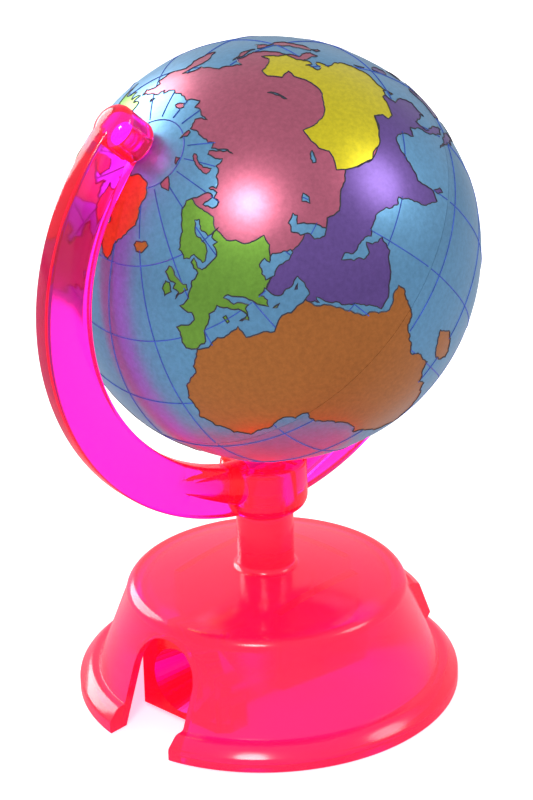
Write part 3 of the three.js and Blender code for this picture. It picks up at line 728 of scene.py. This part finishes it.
# %% Islands and inland seas
ISLANDS = {
    "europe": [
        [(-5.5, 50.1), (1.2, 51.2), (1.7, 52.6), (0.2, 53), (-2, 56), (-1.8, 57.6), (-3.2, 58.6), (-6, 57.5),
         (-4.8, 54.8), (-3, 53.9), (-4.8, 52.9), (-3, 51.5)],
        [(-6.2, 52.2), (-9.8, 51.6), (-9.9, 53.6), (-7.3, 55.3), (-5.6, 54.6)],
        [(12.5, 38), (15.5, 38.2), (15.1, 36.8)], [(8.4, 41), (9.6, 41), (9.4, 39.2), (8.5, 39.1)],
        [(23.5, 35.5), (26.2, 35.3), (24.5, 34.9)],
    ],
    "north": [
        [(-24.3, 65.5), (-22.5, 66.4), (-18, 66.1), (-14.7, 66.1), (-13.6, 65), (-18.8, 63.4), (-22.6, 63.9)],
        [(-116.5, 69.2), (-105.5, 69), (-101.5, 70), (-105, 73), (-114, 73)],
        [(-62, 66.8), (-64.8, 62.5), (-72, 65), (-78, 66), (-85, 70), (-89.5, 73.5), (-80, 73.7),
         (-70, 70.8)],
        [(-80, 76.3), (-89, 77), (-91, 80.5), (-82, 82.5), (-68, 83), (-61.5, 82.5), (-70, 80), (-76, 78)],
        [(-59.3, 47.8), (-55.6, 51.4), (-53, 47.5)], [(-84.8, 22), (-77, 21.8), (-74.2, 20.2), (-77.5, 19.9)],
        [(-74.4, 18.4), (-73, 19.9), (-68.5, 18.6)], [(-123, 71.2), (-125, 74), (-118, 73.5)],
    ],
    "russia": [
        [(11, 79.6), (17, 80), (27, 80), (22, 78), (17, 76.6), (14, 77.7)],
        [(52, 71.3), (53.5, 73.2), (57, 75.3), (65, 76.8), (68.5, 76.7), (61, 75), (56.5, 73), (57.5, 70.7)],
        [(95, 79), (96, 81), (102, 79.3), (103, 78.2), (99.5, 78)], [(48, 80.4), (60, 81.5), (60, 80.2)],
        [(138, 75), (143, 75.8), (150, 75), (141, 73.9)], [(178, 71), (182.5, 71.6), (182, 70.8)],
        [(142.2, 54.3), (143.4, 51), (143, 47), (141.9, 46.2), (142, 49)],
        [(140.2, 41.6), (141.7, 45.4), (145.3, 43.6), (143.2, 42)],
        [(130.9, 34), (132.7, 35.5), (136.8, 37.3), (140, 40.5), (141.4, 41.4), (142, 39.5), (140.8, 36),
         (137, 34.6), (135.7, 33.5)],
        [(129.8, 33), (131.8, 33.6), (131.3, 31.4), (130.2, 31.3)],
    ],
    "south_asia": [
        [(79.8, 8), (80.2, 9.7), (81.8, 7.5), (81, 6.2)], [(32.4, 35), (34.5, 35.5), (33, 34.6)],
        [(95.3, 5.6), (100.4, 2.4), (103.8, 0), (106, -3), (105.7, -5.9), (101, -2.6), (98.7, 1.7)],
        [(105.3, -6.8), (110.8, -6.4), (114.4, -7.8), (114.3, -8.7), (109, -7.8)],
        [(109, 1.3), (113.2, 3.2), (116.8, 7), (119.2, 5.2), (117.7, 3), (118.9, 1), (116, -3.9),
         (110, -1.3)],
        [(119.6, -5.4), (119.4, -3), (120, 0.8), (125.2, 1.5), (121, -0.5), (123.3, -1), (121.6, -2),
         (122.8, -4.2), (121, -3)],
        [(131, -0.8), (134, -0.8), (134.5, -2.5), (141, -2.6), (147.8, -6.5), (150.8, -10.3), (144, -7.7),
         (138.5, -8.3), (138, -5.5), (132.5, -2.8)],
        [(120.3, 16.2), (120.7, 18.5), (122.2, 18.4), (124, 12.8), (120.7, 13.8)],
        [(122, 7), (125.5, 9.7), (126.5, 7.5), (125.5, 5.8)],
    ],
    "china": [
        [(120.2, 23), (121.5, 25.2), (120.9, 22)], [(108.7, 19.2), (110.5, 20.1), (109.5, 18.2)],
    ],
    "africa": [
        [(49.3, -12), (50.4, -15.7), (47.1, -24.9), (45, -25.5), (43.3, -22), (44.4, -16.3)],
    ],
    "australia": [
        [(144.7, -40.8), (148.3, -41), (147.9, -43.2), (146, -43.5)],
        [(172.8, -34.5), (178.5, -37.8), (175.2, -41.6), (173.8, -39.3), (174.8, -37.8)],
        [(172.8, -40.6), (174.2, -41.7), (170.5, -46), (166.5, -45.8), (170.5, -43)],
    ],
}
INLAND_SEAS = [
    [(28.2, 42), (28.7, 43.8), (30.5, 45.9), (33.5, 46), (33.6, 44.4), (36.6, 45.3), (39.7, 43.5),
     (41.6, 42.3),
     (41.3, 41.4), (38.5, 41), (36.2, 41.6), (33.5, 42), (31.3, 41.2)],
    [(46.8, 44.6), (49, 46.4), (53, 46.6), (53, 45.3), (50.3, 44.3), (52.7, 41.4), (53.9, 37.2), (51.5, 36.7),
     (48.9, 38.6), (49.6, 40.3)],
    [(58.5, 45.8), (61.5, 46.3), (61, 44.5), (59, 43.7)], [(74, 46), (75.5, 46.7), (79, 46.6), (74.5, 45.2)],
    [(104, 51.6), (109, 54), (110, 55.6), (106.8, 53.3)],
]
print(sum(len(group) for group in ISLANDS.values()), "islands and", len(INLAND_SEAS), "inland seas")

# %% [markdown]
# ## Which ink goes where
# Each landmass has an ink, and the big one is divided again by three coarse areas. An area may run
# out over the sea, because only its part on land is printed.

# %% The inks and the areas
INKS = {
    "sea": (0.15, 0.37, 0.60),
    "russia": (0.52, 0.125, 0.20),
    "europe": (0.20, 0.42, 0.05),
    "china": (0.78, 0.66, 0.02),
    "south_asia": (0.16, 0.085, 0.33),
    "africa": (0.52, 0.17, 0.035),
    "north": (0.55, 0.17, 0.03),
    "north_america": (0.20, 0.42, 0.05),
    "south_america": (0.78, 0.66, 0.02),
    "australia": (0.52, 0.10, 0.19),
    "antarctica": (0.55, 0.50, 0.55),
}
EURASIA_AREAS = {
    "europe": [(31.5, 72), (29, 69), (30, 66.5), (31.5, 62.8), (27.8, 60.4), (28.2, 58.5), (28, 56.2),
               (31, 54.5),
               (32, 52.6), (35, 51.2), (40, 49.8), (38.4, 47.2), (36, 45.8), (33, 43.5), (29.3, 41.3),
               (26.2, 40.3), (25, 37.5), (24, 34), (-15, 34), (-15, 60), (10, 73)],
    "china": [(74.8, 37.3), (73.8, 39.6), (80, 42.2), (80.5, 45), (83, 47), (87.5, 49), (91, 45.3),
              (96.5, 42.7),
              (105, 41.7), (111.5, 43.5), (116, 46.5), (119.8, 46.8), (117, 49.6), (120.5, 52.8), (125, 52.8),
              (127.8, 49.8), (131, 47.8), (134.7, 48.3), (131, 44.9), (130.6, 42.4), (126, 41.6),
              (124.3, 39.9), (124, 36), (124, 28), (118, 20), (112, 17.5), (108, 21.5), (106.7, 22.9),
              (101.7, 22.3), (99.5, 22.2), (97.6, 24), (98.7, 25.5), (97.5, 28.3), (92, 27.8), (88, 27.9),
              (81, 30.3), (79, 32.5), (76, 35.6)],
    "south_asia": [(29.3, 41.3), (35, 42.5), (41.6, 41.8), (44.5, 41.2), (49, 41.5), (54, 37.3), (57, 38.2),
                   (61, 36), (67, 37.3), (74.8, 37.3), (76, 35.6), (79, 32.5), (81, 30.3), (88, 27.9),
                   (92, 27.8),
                   (97.5, 28.3), (98.7, 25.5), (97.6, 24), (99.5, 22.2), (101.7, 22.3), (106.7, 22.9),
                   (108, 21.5), (115, 12), (108, -2), (75, -2), (44, 10), (32, 28), (31, 35), (25, 37.5),
                   (26.2, 40.3)],
}
LANDS = [("africa", AFRICA), ("north_america", NORTH_AMERICA), ("south_america", SOUTH_AMERICA),
         ("australia", AUSTRALIA), ("antarctica", ANTARCTICA), ("north", GREENLAND)]
LANDS += [(ink, outline) for ink, group in ISLANDS.items() for outline in group]
ink_names = list(INKS)
print(len(LANDS) + 1, "pieces of land,", len(ink_names), "inks")

# %% Break up the coasts
COAST_STEP = 1.1
COAST_WANDER = 0.16
BORDER_WANDER = 0.08
COAST_ROUNDS = 5
SOUTH_END = -85
LEAST_SHRINK = 0.05


def ragged(outline, seed, wander=COAST_WANDER):
    chance = random.Random(seed)
    points = list(outline)
    for _ in range(COAST_ROUNDS):
        finer = []
        for (lon_a, lat_a), (lon_b, lat_b) in zip(points, points[1:] + points[:1]):
            finer.append((lon_a, lat_a))
            shrink = max(math.cos(math.radians((lat_a + lat_b) / 2)), LEAST_SHRINK)
            east, up = (lon_b - lon_a) * shrink, lat_b - lat_a
            if math.hypot(east, up) > COAST_STEP and min(lat_a, lat_b) > SOUTH_END:
                move = chance.uniform(-wander, wander)
                finer.append(((lon_a + lon_b) / 2 - up * move / shrink, (lat_a + lat_b) / 2 + east * move))
        points = finer
    return points


land_outlines = [(ink, ragged(outline, seed)) for seed, (ink, outline) in enumerate(LANDS)]
eurasia_outline = ragged(EURASIA, 101)
sea_outlines = [ragged(outline, 200 + seed) for seed, outline in enumerate(INLAND_SEAS)]
area_outlines = {ink: ragged(outline, 7, BORDER_WANDER) for ink, outline in EURASIA_AREAS.items()}
print("points on the coasts:", sum(len(o) for _, o in land_outlines) + len(eurasia_outline))


# %% Find the ink at a place
def inside(outline, lon, lat):
    """A row of True where the outline holds the place, counted by the crossings to the east."""
    points = np.array(outline)
    found = np.zeros(len(lon), bool)
    for shift in (0, 360):
        x = lon + shift
        for (x1, y1), (x2, y2) in zip(points, np.roll(points, -1, 0)):
            if y1 != y2:
                crosses = (lat < y1) != (lat < y2)
                found ^= crosses & (x < x1 + (lat - y1) * (x2 - x1) / (y2 - y1))
    return found


def ink_at(lon, lat):
    ink = np.full(len(lon), ink_names.index("sea"))
    on_land = inside(eurasia_outline, lon, lat)
    ink[on_land] = ink_names.index("russia")
    for name in ("europe", "south_asia", "china"):
        ink[on_land & inside(area_outlines[name], lon, lat)] = ink_names.index(name)
    for outline in sea_outlines:
        ink[inside(outline, lon, lat)] = ink_names.index("sea")
    for name, outline in land_outlines:
        ink[inside(outline, lon, lat)] = ink_names.index(name)
    return ink


print("ink at 0 east, 20 north:", ink_names[ink_at(np.array([0.0]), np.array([20.0]))[0]])

# %% [markdown]
# ## Laying the print on the tin
# The print isn't quite true to the ball: the map's pole is a few degrees off the pole hole. Each half
# is flattened about its pole, every outline is drawn on that disc, and the disc is cut into triangles
# along all the lines. Lifted back on the ball, each triangle has one ink, so the coasts are crisp.
# Towards its rim each half swells a little, and a hair's breadth is left open between the two rims.

# %% Where the map sits on the ball
PRINT_OFF = 4.5
PRINT_OFF_TOWARDS = -93.0
PRINT_TURN = -137.4


def turn_about(axis, degrees):
    return Matrix.Rotation(math.radians(degrees), 3, axis)


def map_to_ball(points):
    lon, lat = np.radians(np.array(points, float)).T
    return np.stack([np.cos(lat) * np.cos(lon), np.cos(lat) * np.sin(lon), np.sin(lat)], 1) @ print_axes.T


def ball_to_map(vectors):
    x, y, z = (vectors @ print_axes).T
    return np.degrees(np.arctan2(y, x)), np.degrees(np.arcsin(np.clip(z, -1, 1)))


print_axes = np.array(turn_about("Z", PRINT_OFF_TOWARDS) @ turn_about("Y", PRINT_OFF)
                      @ turn_about("Z", -PRINT_OFF_TOWARDS) @ turn_about("Z", PRINT_TURN))
print("the map's pole on the ball:", map_to_ball([(0, 90)]).round(3).tolist())

# %% Cut one half into inked triangles
TIN_WALL = 0.4
RIM_REACH = 6.0
RIM_STEP = 0.15
SEAM_GAP = 0.04
HOLE_R = 1.6
HOLE_SIDES = 48
RING_STEP = 2.6
RING_FEWEST = 24
AROUND = 240
OUTLINE_PAST_EDGE = 6
MERGE = 1e-4

hole_angle = math.degrees(math.asin(HOLE_R / GLOBE_R))


def disc_to_ball(disc, half):
    """From degrees about the half's pole to directions in the ball's own axes."""
    polar = np.radians(np.hypot(disc[:, 0], disc[:, 1]))
    turn = np.arctan2(disc[:, 1], disc[:, 0])
    return np.stack([np.sin(polar) * np.cos(turn), np.sin(polar) * np.sin(turn), half * np.cos(polar)], 1)


def ball_to_disc(vectors, half):
    polar = np.degrees(np.arccos(np.clip(vectors[:, 2] * half, -1, 1)))
    turn = np.arctan2(vectors[:, 1], vectors[:, 0])
    return np.stack([polar * np.cos(turn), polar * np.sin(turn)], 1), polar


def rim_radius(z):
    """Radius of the outside at a height from the seam: the ball, swelling a little towards its rim."""
    away = min(z / RIM_REACH, 1)
    return math.sqrt(max(GLOBE_R ** 2 - z ** 2, 0)) + RIM_STEP * (1 - away * away * (3 - 2 * away))


def print_half(half, seam_z):
    edge = math.degrees(math.acos(seam_z / GLOBE_R))
    points, edges = [], []

    def add_ring(polar, count, line):
        first = len(points)
        for i in range(count):
            turn = 2 * math.pi * (i + 0.5 * (not line)) / count
            points.append((polar * math.cos(turn), polar * math.sin(turn)))
        if line:
            edges.extend((first + i, first + (i + 1) % count) for i in range(count))

    add_ring(hole_angle, HOLE_SIDES, True)
    add_ring(edge, AROUND, True)
    rings = int((edge - hole_angle) / RING_STEP)
    for k in range(1, rings):
        polar = hole_angle + (edge - hole_angle) * k / rings
        add_ring(polar, max(RING_FEWEST, int(360 * math.sin(math.radians(polar)) / RING_STEP)), False)

    outlines = [o for _, o in land_outlines] + [eurasia_outline] + sea_outlines + list(area_outlines.values())
    for outline in outlines:
        disc, polar = ball_to_disc(map_to_ball(outline), half)
        for i in range(len(outline)):
            j = (i + 1) % len(outline)
            near_half = max(polar[i], polar[j]) < edge + OUTLINE_PAST_EDGE
            if near_half and min(outline[i][1], outline[j][1]) > SOUTH_END:
                edges.append((len(points), len(points) + 1))
                points.extend([tuple(disc[i]), tuple(disc[j])])
    cut = geometry.delaunay_2d_cdt([Vector(p) for p in points], edges, [], 0, MERGE)
    disc = np.array([tuple(p) for p in cut[0]])
    faces = np.array([tuple(f) for f in cut[2]])
    middle = disc[faces].mean(1)
    from_pole = np.hypot(middle[:, 0], middle[:, 1])
    flat_share = math.cos(math.pi / HOLE_SIDES)
    return disc, faces[(from_pole > hole_angle * flat_share) & (from_pole < edge)]


def ball_points(disc, half):
    points = []
    for way in disc_to_ball(disc, half):
        radius = rim_radius(abs(way[2]) * GLOBE_R)
        flat = math.hypot(way[0], way[1]) or 1
        points.append((way[0] / flat * radius, way[1] / flat * radius, way[2] * GLOBE_R))
    return points


halves = {}
for half, name, seam_z in ((1, "north", 0.0), (-1, "south", SEAM_GAP)):
    disc, faces = print_half(half, seam_z)
    lon, lat = ball_to_map(disc_to_ball(disc[faces].mean(1), half))
    halves[name] = (half, seam_z, disc, faces, ink_at(lon, lat))
    print(name, "half:", len(faces), "triangles, inks", sorted({ink_names[i] for i in halves[name][-1]}))

# %% [markdown]
# ## The printed tin
# The inks are translucent over bright metal, so the print has a satin metal sheen. One material
# reads the ink from each face's colour, and fine noise breaks up the colour, the gloss and the
# surface as a rolled and lacquered sheet does.

# %% Make the printed tin
tin, tree = new_material("printed_tin")
surface = add_node(tree, "ShaderNodeBsdfPrincipled", Metallic=0.85, Coat_Weight=0.25, Coat_Roughness=0.25)
ink = tree.nodes.new("ShaderNodeVertexColor")
ink.layer_name = "ink"
tint = add_node(tree, "ShaderNodeHueSaturation")
tree.links.new(ink.outputs["Color"], tint.inputs["Color"])
tree.links.new(tint.outputs["Color"], surface.inputs["Base Color"])
grain = object_noise(tree, 1800.0, 4.0, 0.65)
spread(tree, grain, 0.88, 1.12, tint.inputs["Value"])
spread(tree, object_noise(tree, 120.0), 0.30, 0.36, surface.inputs["Roughness"])
ripple(tree, grain, surface, 0.15, 0.00004)
show(tree, surface)
print("tin:", tin.name, "reads its colour from", ink.layer_name)

# %% Build the two halves
ink_table = np.array([(*INKS[n], 1.0) for n in ink_names], np.float32)
for name, (half, seam_z, disc, faces, ink_of) in halves.items():
    mesh = bpy.data.meshes.new("globe_" + name)
    order = faces if half > 0 else faces[:, ::-1]
    mesh.from_pydata(ball_points(disc, half), [], order.tolist())
    colours = mesh.color_attributes.new("ink", "FLOAT_COLOR", "CORNER")
    colours.data.foreach_set("color", np.repeat(ink_table[ink_of], 3, 0).ravel())
    builder = bmesh.new()
    builder.from_mesh(mesh)
    loose = [v for v in builder.verts if not v.link_faces]
    bmesh.ops.delete(builder, geom=loose, context="VERTS")
    builder.to_mesh(mesh)
    builder.free()
    skin = add_object("globe_" + name, mesh)
    wall = skin.modifiers.new("wall", "SOLIDIFY")
    wall.thickness = TIN_WALL
    wall.offset = -1
    settle(skin)
    finish_piece(skin, ball_place, tin, "globe", "printed_tin", f"globe_{name}_half")

# %% [markdown]
# ## Printed lines
# Coasts, borders and the grid of meridians and parallels are thin lines of ink. They follow edges
# that are known already, so Geometry Nodes sweep a tiny round section along them, half sunk in the
# tin. A line that is geometry stays sharp from any distance.

# %% A node tree that turns edges into ink lines
LINE_SIDES = 5


def line_tree():
    tree = bpy.data.node_groups.new("ink_lines", "GeometryNodeTree")
    for name, way, kind in (("Geometry", "INPUT", "Geometry"), ("Line radius", "INPUT", "Float"),
                            ("Sides", "INPUT", "Int"), ("Ink", "INPUT", "Material"),
                            ("Geometry", "OUTPUT", "Geometry")):
        tree.interface.new_socket(name, in_out=way, socket_type="NodeSocket" + kind)
    start = tree.nodes.new("NodeGroupInput")
    end = tree.nodes.new("NodeGroupOutput")
    path = tree.nodes.new("GeometryNodeMeshToCurve")
    ring = tree.nodes.new("GeometryNodeCurvePrimitiveCircle")
    sweep = tree.nodes.new("GeometryNodeCurveToMesh")
    sweep.inputs["Fill Caps"].default_value = True
    real = tree.nodes.new("GeometryNodeRealizeInstances")
    paint = tree.nodes.new("GeometryNodeSetMaterial")
    for source, output, target, into in (
            (start, "Geometry", path, "Mesh"), (start, "Line radius", ring, "Radius"),
            (start, "Sides", ring, "Resolution"), (path, "Curve", sweep, "Curve"),
            (ring, "Curve", sweep, "Profile Curve"), (sweep, "Mesh", real, "Geometry"),
            (real, "Geometry", paint, "Geometry"), (start, "Ink", paint, "Material"),
            (paint, "Geometry", end, "Geometry")):
        tree.links.new(source.outputs[output], target.inputs[into])
    return tree


def ink_material(name, colour):
    material, tree = new_material(name)
    surface = add_node(tree, "ShaderNodeBsdfPrincipled", Metallic=0.2)
    patchy = object_noise(tree, 900.0)
    tint = add_node(tree, "ShaderNodeHueSaturation", Color=colour)
    tree.links.new(tint.outputs["Color"], surface.inputs["Base Color"])
    spread(tree, patchy, 0.7, 1.3, tint.inputs["Value"])
    spread(tree, patchy, 0.35, 0.5, surface.inputs["Roughness"])
    show(tree, surface)
    return material


lines = line_tree()
LINE_INPUTS = {item.name: item.identifier for item in lines.interface.items_tree if item.in_out == "INPUT"}
print("inputs of the line tree:", LINE_INPUTS)


def draw_lines(name, points, edges, radius, material, *nodes):
    mesh = bpy.data.meshes.new(name)
    mesh.from_pydata([tuple(p) for p in points], edges, [])
    piece = add_object(name, mesh)
    sweep = piece.modifiers.new("lines", "NODES")
    sweep.node_group = lines
    sweep[LINE_INPUTS["Line radius"]] = radius
    sweep[LINE_INPUTS["Sides"]] = LINE_SIDES
    sweep[LINE_INPUTS["Ink"]] = material
    settle(piece)
    finish_piece(piece, ball_place, material, "globe", "printed_tin", *nodes)


# %% Draw the coasts and borders
COAST_LINE_R = 0.085

coast_ink = ink_material("coast_ink", (0.035, 0.03, 0.045, 1))
for name, (half, seam_z, disc, faces, ink_of) in halves.items():
    owner = {}
    for face, ink_here in zip(faces, ink_of):
        for i in range(3):
            edge = tuple(sorted((int(face[i]), int(face[(i + 1) % 3]))))
            owner.setdefault(edge, []).append(ink_here)
    coast = [edge for edge, inks in owner.items() if len(inks) == 2 and inks[0] != inks[1]]
    points = ball_points(disc, half)
    draw_lines(f"coast_lines_{name}", points, coast, COAST_LINE_R, coast_ink, f"globe_{name}_half")

# %% Draw the grid over the sea
GRID_LINE_R = 0.075
GRID_EVERY = 20
GRID_STEP = 1.5
GRID_END = 80
HOLE_CLEAR = 1
SEAM_CLEAR = 0.1

grid_ink = ink_material("grid_ink", (0.03, 0.08, 0.42, 1))
grid_lines = []
for lon in range(-180, 180, GRID_EVERY):
    grid_lines.append([(lon, -GRID_END + GRID_STEP * i) for i in range(int(2 * GRID_END / GRID_STEP) + 1)])
for lat in range(-GRID_END, GRID_END + 1, GRID_EVERY):
    grid_lines.append([(-180 + GRID_STEP * i, lat) for i in range(int(360 / GRID_STEP) + 1)])
for name, (half, seam_z, *_) in halves.items():
    points, edges = [], []
    for line in grid_lines:
        ways = map_to_ball(line)
        middle = (ways[:-1] + ways[1:]) / 2
        lon, lat = ball_to_map(middle / np.linalg.norm(middle, axis=1)[:, None])
        at_sea = ink_at(lon, lat) == ink_names.index("sea")
        disc, polar = ball_to_disc(ways, half)
        on_ball = ball_points(disc, half)
        for i, sea in enumerate(at_sea):
            off_hole = min(polar[i:i + 2]) > hole_angle + HOLE_CLEAR
            off_seam = min(ways[i][2] * half, ways[i + 1][2] * half) * GLOBE_R > seam_z + SEAM_CLEAR
            if sea and off_hole and off_seam:
                if not (edges and points[-1] == on_ball[i]):
                    points.append(on_ball[i])
                edges.append((len(points) - 1, len(points)))
                points.append(on_ball[i + 1])
    draw_lines(f"grid_lines_{name}", points, edges, GRID_LINE_R, grid_ink, f"globe_{name}_half")
